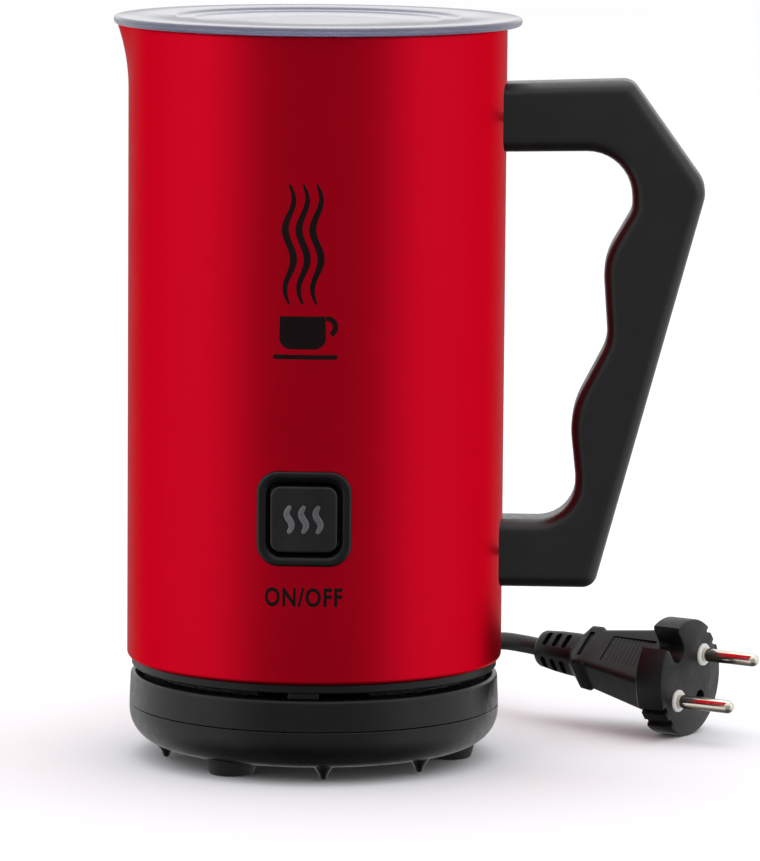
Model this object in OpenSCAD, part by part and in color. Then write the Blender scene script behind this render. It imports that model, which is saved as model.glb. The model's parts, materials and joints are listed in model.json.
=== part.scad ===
// Electric milk frothing jug on a cordless power base, with cord and plug.
// Origin: on the jug's axis, on the worktop. +Z up, +X to the handle, -Y to the button.

/* [Jug] */
// Outer radius of the painted shell
body_r = 55; // [54:0.5:56]
// Sheet thickness of the painted shell
shell_wall = 0.6; // [0.5:0.1:0.8]
// Height of the shell's lower edge
shell_low = 29.4; // [29.2:0.1:29.6]
// Height of the shell's upper edge
shell_top = 214.6; // [210:0.5:220]
// How far the spout's lip stands out of the shell
spout_out = 3.6; // [2:0.2:3.8]
// Radius of the spout's rounded nose
spout_r = 12.5; // [10:0.5:14]
// Inner radius of the milk pot
pot_r = 46; // [45:0.5:46.5]
// Wall of the milk pot
pot_wall = 1.2; // [1:0.1:1.4]
// Height of the milk pot's floor, inside
pot_floor = 113.2; // [112:0.4:116]

/* [Lid] */
// Radius of the lid's flange
lid_r = 59.3; // [58.8:0.1:60]
// Thickness of the lid's flange
lid_t = 2.4; // [2:0.1:3]
// Depth of the skirt that reaches into the pot
skirt_depth = 6.4; // [5:0.2:8]

/* [Power base] */
// Largest radius of the base
base_r = 54.25; // [54:0.05:54.4]
// Height of the base's rim, where the jug stands
base_top = 25.2; // [25:0.1:25.4]
// Height of the line between the two covers
seam_z = 15.8; // [15:0.1:16.5]
// Height of the base's underside
base_low = 4.2; // [4:0.1:4.6]
// Radius of the rounding under the base
base_round = 10; // [8:0.5:11]
// Wall of the moulded covers
cover_wall = 2.2; // [2:0.1:2.6]

/* [Handle] */
// Width of the handle, across
handle_w = 18; // [16:0.5:20]
// Height of the upper screw
upper_screw_z = 189; // [186:0.5:191]
// Height of the lower screw
lower_screw_z = 61.5; // [60:0.5:63]

/* [Button] */
// Height of the button's centre
button_z = 77.7; // [76:0.1:80]
// Width of the glossy surround
bezel_w = 27.2; // [26:0.2:28]
// Width of the key
key_w = 19.2; // [18:0.2:20]
// Distance that the key travels
key_travel = 1.0; // [0.6:0.1:1]

/* [Drive] */
// Radius of the motor
motor_r = 12; // [10:0.5:13]
// Radius of the motor's shaft
shaft_r = 1; // [0.8:0.1:1.2]
// Radius of the pin that the whisk turns on
spindle_r = 1.5; // [1.2:0.1:1.8]
// Radius of the whisk's coil ring, at the middle of the coil
whisk_ring_r = 15.6; // [15.2:0.1:18]

/* [Cord and plug] */
// Diameter of the cord
cord_d = 5.4; // [5:0.1:6]
// Radius of the plug's round head
plug_r = 17.6; // [17:0.1:17.6]
// Radius of a plug pin
pin_r = 2; // [1.9:0.1:2.4]
// Free length of a plug pin
pin_len = 19; // [18:0.5:19]
// Distance between the plug pins
pin_gap = 19; // [18.5:0.5:19.5]

/* [Hidden] */
$fn = 96;
eps = 0.01;
running = 0.05;      // radial clearance of a shaft that turns in a hole
slack = 0.4;         // clearance between parts that slide past each other
touch = 0.01;        // gap between a wire's end and the face it is soldered to
rim_z = shell_top + 0.3;
pot_out = pot_r + pot_wall;
deck_z = 22.6;       // top of the base's sunk deck
deck_under = deck_z - cover_wall;
base_floor = base_low + cover_wall;
post_r = 13;         // the base's round connector post
post_top = 32.4;
socket_z = 33.2;     // roof of the jug's socket
bottom_z = 27.4;     // underside of the jug's bottom cover
bottom_t = 2.8;
board_z = 60;        // underside of the control board
pot_under = pot_floor - pot_wall;
motor_top = 98;
bracket_t = 1.5;
carrier_z = 104;
whisk_z = pot_floor + 1.1;
foot_turn = -123;    // direction of the first rubber foot
foot_ring = 40;
peg_ring = 44.3;
stud_ring = 40;
exit_turn = 120;     // direction in which the cord leaves the base
relief_len = 26;
exit_r = base_r + relief_len;
board_y = -46.4;     // front face of the button's circuit board
plug_face = [111.1, 38.5, 17.6];
plug_turn = -30.5;
plug_roll = 50.5;
boot_tilt = 4.2;     // the boot rises a little towards the cord
boot_end = -52.7;
coil_at = [5, 97];
coil_z = 3.7;
coil_ring = [27.3, 32.7];

// Route of the cord from the base to its coil
near_route = [[-40, 69.5, 15.8], [-44, 76.5, 15.4], [-47, 84, 14], [-48.5, 91.5, 11.4],
    [-47.5, 99, 8.6], [-44.5, 107, 6.2], [-39, 114.5, 4.6], [-31, 121, 3.8], [-21.5, 125.8, 3.7],
    [-11, 128.8, 3.7]];
// Route of the cord from its coil to the plug
far_route = [[32.5, 109.2, 8.4], [36.5, 100.5, 10], [40.6, 91.6, 13.8], [45.8, 83.4, 18.4],
    [52.8, 75.6, 21.6], [60.5, 68.9, 21.9], [65.74, 65.2, 21.46]];

// Points on an arc
function arc(centre, r, from, to, steps = 8) =
    [for (i = [0:steps]) let (a = from + (to - from) * i / steps) centre + r * [cos(a), sin(a)]];

// An outline of corners [x, y, radius], with each corner rounded by its radius
function unit(v) = v / norm(v);
function corner(a, b, c, r) =
    let (u = unit(a - b), v = unit(c - b), half = acos(u * v) / 2, m = unit(u + v),
        centre = b + m * r / sin(half), turn = cross(u, v) > 0 ? 1 : -1,
        mid = atan2(-m[1], -m[0]), span = 90 - half)
    arc(centre, r, mid + turn * span, mid - turn * span, 6);
function xy(p) = [p[0], p[1]];
function rounded(pts) =
    let (n = len(pts))
    [for (i = [0:n - 1]) each pts[i][2] == 0 ? [xy(pts[i])]
        : corner(xy(pts[(i + n - 1) % n]), xy(pts[i]), xy(pts[(i + 1) % n]), pts[i][2])];

// Places its children on the axis of each handle screw, along +X from x
module at_handle_screws(x) {
    for (z = [upper_screw_z, lower_screw_z]) translate([x, 0, z]) rotate([0, 90, 0]) children();
}

module at_studs() {
    for (i = [0:2]) rotate(30 + 120 * i) translate([stud_ring, 0, 0]) children();
}

module at_jug_screws() {
    for (i = [0:2]) rotate(60 + 120 * i) translate([44.6, 0, 0]) children();
}

module at_board_posts() {
    for (i = [0:2]) rotate(120 * i) translate([36, 0, 0]) children();
}

module tube(r_out, r_in, z0, z1) {
    translate([0, 0, z0]) difference() {
        cylinder(r = r_out, h = z1 - z0);
        translate([0, 0, -1]) cylinder(r = r_in, h = z1 - z0 + 2);
    }
}

module rod(r, z0, z1) {
    translate([0, 0, z0]) cylinder(r = r, h = z1 - z0);
}

// A flat rectangle with true round corners
module round_rect(w, h, r) {
    square([w - 2 * r, h], center = true);
    square([w, h - 2 * r], center = true);
    for (x = [-1, 1], y = [-1, 1]) translate([x * (w / 2 - r), y * (h / 2 - r)]) circle(r = r);
}

// The same rectangle as a block that runs from y0 to y1, facing -Y, around the button's centre
module front_block(w, h, r, y0, y1) {
    translate([0, y1, button_z]) rotate([90, 0, 0]) linear_extrude(y1 - y0) round_rect(w, h, r);
}

// A leaning cylinder whose nose forms the spout; inset draws it smaller all round
module spout_nose(inset) {
    lean = 11.5;
    translate([-(body_r + spout_out - spout_r), 0, shell_top]) rotate([0, -lean, 0])
        translate([0, 0, -26]) cylinder(r = spout_r - inset, h = 40);
}

// A flexible cord or wire swept along its route as one closed surface; aside is across the route
function heading(p, i) = unit(p[min(i + 1, len(p) - 1)] - p[max(i - 1, 0)]);
function ring(c, d, r, sides, aside) =
    let (side = unit(cross(aside, d)), up = cross(d, side))
    [for (k = [0:sides - 1]) c + r * (cos(360 * k / sides) * side + sin(360 * k / sides) * up)];
module sweep(route, r, sides = 12, aside = [0, 0, 1]) {
    n = len(route);
    points = [for (i = [0:n - 1]) each ring(route[i], heading(route, i), r, sides, aside)];
    walls = [for (i = [0:n - 2], k = [0:sides - 1])
        let (a = i * sides + k, b = i * sides + (k + 1) % sides)
        each [[a, a + sides, b + sides], [a, b + sides, b]]];
    start = [for (k = [0:sides - 1]) k];
    end = [for (k = [sides - 1:-1:0]) (n - 1) * sides + k];
    polyhedron(points, concat(walls, [start, end]));
}

// ---------- power base ----------

module at_feet() {
    for (i = [0:2]) rotate(foot_turn + 120 * i) translate([foot_ring, 0, 0]) children();
}

module at_base_screws() {
    for (i = [0:2]) rotate(foot_turn + 60 + 120 * i) translate([30, 0, 0]) children();
}

// Places its children on the axis of the cord's exit, pointing outwards from radius r
module at_exit(r) {
    rotate(exit_turn) translate([r, 0, seam_z]) rotate([0, 90, 0]) children();
}

module base_top_cover() {
    low = seam_z + 0.15;
    outline = concat([[base_r, low], [base_r - 0.3, 23.8]], arc([base_r - 1.7, 23.8], 1.4, 0, 90),
        [[48.4, base_top], [47.6, 24.4], [47.6, deck_z], [post_r + 0.6, deck_z],
        [post_r + 0.6, deck_under], [51.4, deck_under], [base_r - cover_wall, 19.8],
        [base_r - cover_wall, low]]);
    color("#1c1c1e") difference() {
        union() {
            rotate_extrude() polygon(outline);
            at_base_screws() rod(3.4, base_floor + 0.05, deck_under + 1);
        }
        at_base_screws() rod(1.5, base_floor - 1, 17);
        at_exit(base_r - 4) cylinder(r = 3.9, h = 10);
    }
}

module winder_peg() {
    tip = 0.5;
    translate([0, 0, tip + 0.9]) cylinder(r1 = 1.25, r2 = 2.6, h = base_low - tip - 0.8);
    translate([0, 0, tip + 1.2]) sphere(r = 1.2);
}

module base_bottom_cover() {
    c = [base_r - base_round, base_low + base_round];
    outline = concat([[0, base_low]], arc(c, base_round, -90, 0),
        [[base_r, seam_z], [base_r - cover_wall, seam_z]], arc(c, base_round - cover_wall, 0, -90),
        [[0, base_floor]]);
    color("#17171a") difference() {
        union() {
            rotate_extrude() polygon(outline);
            for (i = [0:2], k = [1, 2]) rotate(foot_turn + 120 * i + 40 * k) translate([peg_ring, 0, 0])
                winder_peg();
            rotate(exit_turn) translate([40, -9, base_floor - 0.5]) cube([6, 18, seam_z - base_floor]);
        }
        at_feet() rod(7.6, base_low - 1, base_low + 0.8);
        at_base_screws() {
            rod(1.7, 0, base_floor + 1);
            rod(3.2, 0, base_low + 1);
        }
        at_exit(36) cylinder(r = cord_d / 2 + 0.05, h = 12);
        at_exit(base_r - 4) cylinder(r = 3.9, h = 10);
        for (y = [-1, 1]) rotate(exit_turn) translate([43, 6.3 * y, 0]) rod(1, base_floor + 2, 30);
    }
}

module base_connector() {
    color("#2b2b2e") difference() {
        union() {
            rod(19, deck_under - 2.2, deck_under);
            rod(post_r, deck_under - 1, post_top - 1);
            translate([0, 0, post_top - 1]) cylinder(r1 = post_r, r2 = post_r - 1, h = 1);
            rod(11, 14, deck_under);
        }
        rod(3.4, 24, post_top + 1);
        rod(1.55, 10, 26);
        tube(9, 6.8, 26, post_top + 1);
    }
}

module base_contacts() {
    color("#c8a248") {
        rod(1.5, 12, 30.4);
        translate([0, 0, 30.4]) sphere(r = 1.5);
        tube(8.95, 8.4, 26, 30.6);
        for (a = [60, 180, 300]) rotate(a) translate([8, -1.6, 10.4]) cube([0.8, 3.2, 3.6]);
    }
}

module rubber_feet() {
    outline = [[0, 0], [6.1, 0], [6.7, 0.5], [7.5, 3.4], [7.5, base_low + 0.8], [0, base_low + 0.8]];
    color("#101012") at_feet() rotate_extrude() polygon(outline);
}

// A pan-head screw that points up, with its head's underside at z
module screw_up(r, z, h, head_r, head_h) {
    rod(r, z, z + h);
    difference() {
        rod(head_r, z - head_h, z);
        for (a = [0, 90]) translate([0, 0, z - head_h]) rotate(a)
            cube([head_r * 1.1, 0.6, 0.9], center = true);
    }
}

module base_screws() {
    color("#9a9a9e") at_base_screws() screw_up(1.45, base_low + 1, 10, 2.9, 0.9);
}

module cord_clamp() {
    color("#3a3a3e") difference() {
        rotate(exit_turn) translate([40.5, -9, seam_z + 0.5]) cube([5, 18, 3.4]);
        at_exit(36) cylinder(r = cord_d / 2 + 0.05, h = 12);
        for (y = [-1, 1]) rotate(exit_turn) translate([43, 6.3 * y, 0]) rod(1.3, 10, 30);
    }
}

module clamp_screws() {
    color("#9a9a9e") rotate(exit_turn) for (y = [-1, 1]) translate([43, 6.3 * y, 0])
        mirror([0, 0, 1]) screw_up(0.95, -(seam_z + 3.9), 9, 1.9, 0.6);
}

module base_leads() {
    color("#7a4a2a") rotate(exit_turn) {
        for (k = [-1, 1]) sweep([[35.5, 1.7 * k, seam_z], [28, 3 * k, 11], [15, 8 * k, 9],
            [4.6, 7.4 * k, 9.6]], 0.7, 8);
        sweep([[35.5, 0, seam_z], [28, 0, 10.2], [12, 0, 8.4], [-8.2, 0, 9.5]], 0.7, 8);
    }
}

module strain_relief() {
    bore = cord_d / 2 + 0.03;
    outline = [[bore, -4.2], [4.4, -4.2], [4.4, -3], [3.7, -3], [3.7, 0.2], [5.6, 0.2], [5.6, 3],
        [4.9, 3.4], [4.9, 5], [5.3, 5.4], [5.1, 9], [4.6, 9.4], [4.6, 11], [4.9, 11.4], [4.7, 15],
        [4.3, 15.4], [4.3, 17], [4.5, 17.4], [4.1, relief_len - 0.6], [3.6, relief_len], [bore, relief_len]];
    color("#161618") at_exit(base_r) rotate_extrude() polygon(outline);
}

module cord_tail() {
    color("#141416") at_exit(36) cylinder(r = cord_d / 2, h = exit_r - 36);
}

module cord_lead_near() {
    color("#141416") sweep(near_route, cord_d / 2);
}

module cord_coil() {
    r = cord_d / 2;
    top = (coil_ring[0] + coil_ring[1]) / 2;
    outline = concat(arc([coil_ring[1], coil_z], r, -90, 30, 4), arc([top, coil_z + 4.7], r, 30, 150, 4),
        arc([coil_ring[0], coil_z], r, 150, 270, 4));
    color("#141416") translate([coil_at[0], coil_at[1], 0]) rotate_extrude() polygon(outline);
}

module cord_tie() {
    inner = [11.2, 6, 10.3];
    color("#2a2a2c") translate([coil_at[0] - 30, coil_at[1], coil_z + 2.35]) difference() {
        cube(inner + [1.4, -1, 1.4], center = true);
        cube(inner, center = true);
    }
}

module cord_lead_far() {
    color("#141416") sweep(far_route, cord_d / 2);
}

// Places a piece of the plug: x along the pins, y from pin to pin, the face at x = 0
module at_plug(tilt = 0) {
    translate(plug_face) rotate([0, tilt, plug_turn]) rotate([90 - plug_roll, 0, 0]) children();
}

// Places its children on the axis of both pins, pointing out of the face from x
module at_pins(x) {
    at_plug() for (y = [-1, 1]) translate([x, y * pin_gap / 2, 0]) rotate([0, 90, 0]) children();
}

module plug_body() {
    notch_w = 7;
    top_view = [[-8.6, -12], [-8.6, 12], [-32, 8.6], [-33.5, 9.4], [-36.5, 9], [-38, 7], [-38, -7],
        [-36.5, -9], [-33.5, -9.4], [-32, -8.6]];
    side_view = [[-8.6, -7.6], [-8.6, 7.6], [-32, 6.4], [-33.5, 7.4], [-36.5, 7.2], [-38, 5.6],
        [-38, -5.6], [-36.5, -7.2], [-33.5, -7.4], [-32, -6.4]];
    color("#18181a") {
        difference() {
            at_plug() translate([-9, 0, 0]) rotate([0, 90, 0]) cylinder(r = plug_r, h = 9);
            at_plug() {
                translate([-10, 0, 11]) rotate([0, 90, 0]) cylinder(r = notch_w / 2, h = 12);
                translate([-10, -notch_w / 2, 11]) cube([12, notch_w, 10]);
                for (y = [-1, 1]) translate([-10, y * 18 - 2, -3]) cube([12, 4, 6]);
                translate([-7, 0, -9]) rotate([0, 90, 0]) cylinder(r = 2.3, h = 8);
            }
            at_pins(-8) cylinder(r = 3.4, h = 10);
        }
        at_plug(boot_tilt) {
            intersection() {
                translate([0, 0, -10]) linear_extrude(20) polygon(top_view);
                rotate([90, 0, 0]) translate([0, 0, -15]) linear_extrude(30) polygon(side_view);
            }
            translate([boot_end, 0, 0]) rotate([0, 90, 0]) cylinder(r = 4.5, h = 15);
            for (i = [0:3]) translate([-41.4 - 3.7 * i, 0, 0]) rotate([0, 90, 0])
                cylinder(r = 6.2 - 0.25 * i, h = 2);
        }
    }
}

module plug_pins() {
    color("#d8cdb4") at_pins(-7.9) {
        cylinder(r = pin_r - 0.4, h = 9);
        translate([0, 0, 8.7]) cylinder(r = pin_r, h = pin_len - pin_r - 0.8);
        translate([0, 0, pin_len - pin_r + 7.9]) sphere(r = pin_r);
    }
}

module pin_collars() {
    color("#e6e4de") at_pins(-7.9) tube(3.35, pin_r - 0.37, 0, 8.65);
}

// ---------- jug ----------

module outer_shell() {
    inner = body_r - shell_wall;
    outline = concat([[53.2, shell_low], [body_r - 1.6, shell_low]],
        arc([body_r - 1.6, shell_low + 1.6], 1.6, -90, 0), [[body_r, shell_top], [inner, shell_top]],
        arc([body_r - 1.6, shell_low + 1.6], 1, 0, -90), [[53.2, shell_low + 0.6]]);
    color("#c1101f") difference() {
        union() {
            rotate_extrude() polygon(outline);
            difference() {
                intersection() {
                    spout_nose(0);
                    translate([-80, -30, 150]) cube([60, 60, shell_top - 150]);
                }
                rod(body_r - 0.3, 100, 250);
            }
        }
        intersection() {
            spout_nose(shell_wall);
            rod(80, 196, 250);
        }
        front_block(24.2, 24.3, 5, -70, -40);
        at_handle_screws(40) cylinder(r = 2.2, h = 30);
    }
}

module inner_pot() {
    corner_r = 5;
    c = [pot_r - corner_r, pot_floor + corner_r];
    flange = body_r - shell_wall - 0.3;
    outline = concat([[0, pot_under]], arc(c, corner_r + pot_wall, -90, 0),
        [[pot_out, rim_z - 1.2], [flange, rim_z - 1.2], [flange, rim_z], [pot_r + 1, rim_z]],
        arc([pot_r + 1, rim_z - 1], 1, 90, 180, 4), arc(c, corner_r, 0, -90), [[0, pot_floor]]);
    color("#35353a") difference() {
        union() {
            rotate_extrude() polygon(outline);
            difference() {
                intersection() {
                    spout_nose(shell_wall + 0.3);
                    translate([-80, -30, 190]) cube([60, 60, shell_top - 190]);
                }
                rod(pot_out - 0.5, 100, 250);
            }
        }
        intersection() {
            spout_nose(shell_wall + 1.3);
            rod(80, 198, 250);
        }
    }
}

module pot_spindle() {
    color("#b9b9bd") {
        rod(4, pot_floor, pot_floor + 0.8);
        rod(spindle_r, pot_floor, pot_floor + 9.6);
        translate([0, 0, pot_floor + 9.6]) sphere(r = spindle_r);
    }
}

module pot_studs() {
    color("#a8a8ac") at_studs() rod(1.6, 94.6, pot_under);
}

module bracket_nuts() {
    color("#9a9a9e") at_studs() translate([0, 0, motor_top - 2.4]) difference() {
        cylinder(r = 3.3, h = 2.4, $fn = 6);
        translate([0, 0, -1]) cylinder(r = 1.65, h = 5);
    }
}

module heater_ring() {
    color("#8d8d92") {
        tube(37.5, 22, pot_under - 4.4, pot_under);
        for (a = [-37, -23]) rotate(a) translate([30, 0, 0]) rod(1.5, pot_under - 9, pot_under - 4);
    }
}

module thermostat() {
    color("#c9c2ae") rotate(90) translate([30, 0, 0]) {
        rod(6.4, pot_under - 9, pot_under - 4.4);
        for (y = [-3.5, 3.5]) translate([-0.4, y - 1.5, pot_under - 13]) cube([0.8, 3, 4.2]);
    }
}

module thermal_fuse() {
    color("#d9d9dc") rotate(-75) translate([30, 0, pot_under - 6.1]) rotate([90, 0, 0]) {
        translate([0, 0, -5]) cylinder(r = 1.6, h = 10);
        translate([0, 0, -9]) cylinder(r = 0.4, h = 18);
    }
}

module temperature_sensor() {
    color("#40342c") rotate(210) translate([12, 14, 0]) {
        rod(2.2, pot_under - 3, pot_under);
        rod(1, pot_under - 5, pot_under - 3);
    }
}

module motor_bracket() {
    color("#a0a0a4") difference() {
        rod(44.5, motor_top, motor_top + bracket_t);
        rod(3.2, motor_top - 1, motor_top + 5);
        at_studs() rod(1.8, motor_top - 1, motor_top + 5);
        for (i = [0:2]) rotate(90 + 120 * i) translate([30, 0, 0]) rod(9.5, motor_top - 1, motor_top + 5);
        for (x = [-8, 8]) translate([x, 0, 0]) rod(1.2, motor_top - 1, motor_top + 5);
    }
}

module motor_can() {
    color("#b4b4b8") difference() {
        union() {
            rod(motor_r, 77, motor_top);
            rod(3, motor_top, motor_top + 2.1);
        }
        rod(shaft_r + running, 79, motor_top + 3);
        for (x = [-8, 8]) translate([x, 0, 0]) rod(0.85, motor_top - 5, motor_top + 1);
    }
}

module motor_end_cap() {
    color("#e8e8ea") {
        rod(motor_r - 0.6, 75, 77);
        for (x = [-7, 7]) translate([x - 1.4, -0.4, 71.6]) cube([2.8, 0.8, 3.4]);
    }
}

module motor_screws() {
    color("#9a9a9e") for (x = [-8, 8]) translate([x, 0, 0])
        mirror([0, 0, 1]) screw_up(0.8, -(motor_top + bracket_t), 5, 1.7, 1.1);
}

module jug_collar() {
    outline = [[50.1, 27], [53.6, 27], [53.6, shell_low - 0.05], [53.1, shell_low - 0.05], [53.1, 30.1],
        [53.6, 30.1], [53.6, 33], [46.4, 33], [46.4, 30.4], [50.1, 30.4]];
    color("#141416") difference() {
        union() {
            rotate_extrude() polygon(outline);
            for (a = [-90, 0, 90, 180]) rotate(a) translate([50.4, -4.5, base_top]) cube([2.1, 9, 2.8]);
            at_jug_screws() rod(3.6, 30.6, 37);
        }
        at_jug_screws() rod(1.25, 20, 36);
    }
}

module jug_bottom_cover() {
    color("#1d1d20") difference() {
        union() {
            tube(49.9, 16.9, bottom_z, bottom_z + bottom_t);
            at_board_posts() rod(3.2, bottom_z + 1, board_z);
        }
        at_jug_screws() rod(1.5, 20, 40);
        at_jug_screws() rod(3, 20, bottom_z + 1.2);
        at_board_posts() rod(1.05, board_z - 8, board_z + 1);
    }
}

module jug_screws() {
    color("#9a9a9e") at_jug_screws() screw_up(1.2, bottom_z + 1.2, 7, 2.7, 1.1);
}

module jug_connector() {
    top = bottom_z + bottom_t;
    color("#26262a") difference() {
        union() {
            rod(16.5, 23.8, socket_z + 2);
            rod(20.5, top, top + 2);
        }
        rod(post_r + slack, 20, socket_z);
        rod(2.7, 20, 50);
        for (a = [0, 180]) rotate(a) translate([7.75, 0, 0]) rod(0.75, 20, 50);
    }
}

module jug_contacts() {
    color("#c8a248") {
        tube(2.6, 1.7, 24.6, 39);
        tube(8.15, 7.35, 26.8, socket_z);
        for (a = [0, 180]) rotate(a) translate([7.75, 0, 0]) rod(0.7, socket_z - 1, 39);
    }
}

module control_board() {
    color("#2f6b3a") difference() {
        rod(44, board_z, board_z + 1.6);
        at_board_posts() rod(1.3, board_z - 1, board_z + 3);
    }
}

module board_components() {
    top = board_z + 1.6;
    color("#3b3b40") {
        translate([-30, 8, top]) cube([16, 13, 14]);
        translate([12, 12, top]) cube([18, 10, 15]);
        translate([22, -24, 0]) rod(5, top, top + 12);
        translate([8, -28, 0]) rod(4, top, top + 11);
        translate([-18, -24, top]) cube([12, 8, 7]);
        translate([-4, -10, top]) cube([9, 9, 1.6]);
        translate([-34, -10, top]) cube([4, 14, 10]);
    }
}

module board_screws() {
    color("#9a9a9e") at_board_posts() mirror([0, 0, 1]) screw_up(1, -(board_z + 1.6), 7, 2.2, 1.3);
}

// Each wire meets its board or terminal square on, with a short straight end
module wire_harness() {
    top = board_z + 1.6 + touch;
    low = board_z - touch;
    back = board_y + 1.6 + touch;
    tab = pot_under - 9 - touch;
    up = [1, 0.1, 0];
    color("#8a1d1d") {
        sweep([[2.15, 0, 39 + touch], [2.15, 0, 42], [3, 6, 48], [6, 16, low - 3], [6, 16, low]], 0.9, 8, up);
        for (x = [-1, 1]) sweep([[7.75 * x, 0, 39 + touch], [7.75 * x, 0, 42], [11 * x, 10, 48],
            [15 * x, 24, low - 3], [15 * x, 24, low]], 0.9, 8, up);
        sweep([[34, -11, top], [34, -11, top + 4], [33, -12, 90], [27.6, -11.7, tab - 4],
            [27.6, -11.7, tab]], 0.9, 8, up);
        sweep([[31, -18, top], [31, -18, top + 4], [30, -18.5, 90], [24, -18, tab - 4],
            [24, -18, tab]], 0.9, 8, up);
        for (x = [-7, 7]) sweep([[x, 5, top], [x, 5, top + 3], [x, 3, 66], [x, 0.2, 69],
            [x, 0.2, 71.6 - touch]], 0.7, 8, up);
        for (x = [-4, 0, 4]) sweep([[x, -38, top], [x, -38, top + 3], [x, -41, 66], [x, back + 3, 71],
            [x, back, 71]], 0.5, 8, up);
    }
}

module button_bezel() {
    face_r = body_r + 1.3;
    color("#0c0c0e") difference() {
        union() {
            intersection() {
                front_block(bezel_w, bezel_w + 0.1, 6.3, -70, -45);
                tube(face_r, body_r + 0.05, button_z - 20, button_z + 20);
            }
            intersection() {
                front_block(23.6, 23.7, 4.7, -70, board_y);
                rod(face_r - 0.1, button_z - 20, button_z + 20);
            }
        }
        front_block(key_w + 2 * slack, key_w - 0.2 + 2 * slack, 3 + slack, -70, -40);
    }
}

module button_board() {
    color("#2f6b3a") translate([-12, board_y, button_z - 13]) cube([24, 1.6, 26]);
}

module tact_switch() {
    color("#33333a") difference() {
        translate([-3, board_y - 3, button_z - 3]) cube([6, 3, 6]);
        translate([0, board_y - 4, button_z]) rotate([-90, 0, 0]) cylinder(r = 1.7 + running, h = 3.4);
    }
}

module button_lamps() {
    color("#f2f2e8") for (x = [-1, 1]) translate([6 * x, board_y, button_z + 5]) rotate([90, 0, 0]) {
        cylinder(r = 1.5, h = 1.1);
        translate([0, 0, 1.1]) intersection() {
            sphere(r = 1.5);
            cylinder(r = 2, h = 2);
        }
    }
}

// The handle's outline in the X-Z plane: each corner is [x, z, radius]
handle_outline = rounded([[50, 198.6, 0], [91.3, 200, 5], [113.6, 169.1, 9], [82, 51.5, 4.5], [50, 51.5, 0],
    [50, 71.4, 0], [67.2, 71.4, 6], [75, 81, 6], [74.2, 102, 40], [84.2, 129, 30], [84, 146, 30],
    [91.6, 163, 10], [92.4, 178.9, 11], [50, 178.7, 0]]);

module handle() {
    color("#161619") difference() {
        translate([0, handle_w / 2, 0]) rotate([90, 0, 0]) linear_extrude(handle_w) polygon(handle_outline);
        rod(body_r + 0.05, 0, 250);
        at_handle_screws(50) cylinder(r = 1.9, h = 20);
    }
}

module handle_screws() {
    color("#9a9a9e") at_handle_screws(0) screw_up(1.85, 52.8, 16, 3.6, 2.2);
}

module handle_plates() {
    color("#a0a0a4") difference() {
        intersection() {
            tube(54.35, 52.9, 40, 205);
            for (z = [upper_screw_z, lower_screw_z]) translate([40, -8, z - 8]) cube([20, 16, 16]);
        }
        at_handle_screws(40) cylinder(r = 2, h = 30);
    }
}

// ---------- drive under the pot ----------

module motor_shaft() {
    color("#c4c4c8") rod(shaft_r, 79.5, carrier_z + 2);
}

module magnet_carrier() {
    color("#d6d6da") difference() {
        union() {
            rod(15, carrier_z, carrier_z + 3);
            rod(3.6, carrier_z - 2.9, carrier_z);
        }
        rod(shaft_r + eps, carrier_z - 4, carrier_z + 2);
        for (x = [-8, 8]) translate([x, 0, 0]) rod(4.1, carrier_z + 1, carrier_z + 4);
    }
}

module drive_magnets() {
    color("#8c8c92") for (x = [-8, 8]) translate([x, 0, 0]) rod(4, carrier_z + 1, carrier_z + 5);
}

// ---------- whisk ----------

module whisk_cap() {
    color("#1e1e20") tube(whisk_ring_r, 4.6, whisk_z, whisk_z + 0.8);
}

module whisk_hub() {
    low = whisk_z + 0.8;
    color("#232326") difference() {
        union() {
            rod(13, low, low + 4.5);
            translate([0, 0, low + 4.5]) cylinder(r1 = 5.5, r2 = 3.4, h = 3);
            rod(3.4, low + 7, low + 17);
            translate([0, 0, low + 17.5]) sphere(r = 4.4);
        }
        rod(spindle_r + running, low - 1, low + 9.6);
        for (x = [-8, 8]) translate([x, 0, 0]) rod(4.1, low - 1, low + 3.1);
    }
}

module whisk_magnets() {
    color("#8c8c92") for (x = [-8, 8]) translate([x, 0, 0]) rod(4, whisk_z + 0.8, whisk_z + 3.9);
}

module whisk_coil() {
    wire_ring = 2.2;
    color("#c8c8cc") translate([0, 0, whisk_z + 0.8 + wire_ring]) rotate_extrude()
        translate([whisk_ring_r, 0]) circle(r = wire_ring, $fn = 48);
}

// ---------- lid ----------

module lid_cover() {
    top = rim_z + lid_t;
    skirt_r = 44.2;
    outline = concat([[0, rim_z], [skirt_r - 1.6, rim_z], [skirt_r - 1.6, rim_z - skirt_depth],
        [skirt_r, rim_z - skirt_depth], [skirt_r, rim_z - 4.9], [skirt_r - 0.8, rim_z - 4.9],
        [skirt_r - 0.8, rim_z - 2.9], [skirt_r, rim_z - 2.9], [skirt_r, rim_z]],
        arc([lid_r - 1, rim_z + 1], 1, -90, 0, 4), arc([lid_r - 1, top - 1], 1, 0, 90, 4),
        [[41.5, top], [40.7, top - 0.6], [36.5, top - 0.6], [35.5, top - 1], [0, top - 1]]);
    color([0.62, 0.64, 0.7, 0.5]) rotate_extrude() polygon(outline);
}

module lid_seal() {
    low = rim_z - 4.9;
    outline = [[43.4, low], [44.3, low], [45.7, low + 0.7], [45.7, low + 1.2], [44.3, low + 2],
        [43.4, low + 2]];
    color("#c9cbd0") rotate_extrude() polygon(outline);
}

// ---------- button ----------

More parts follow.
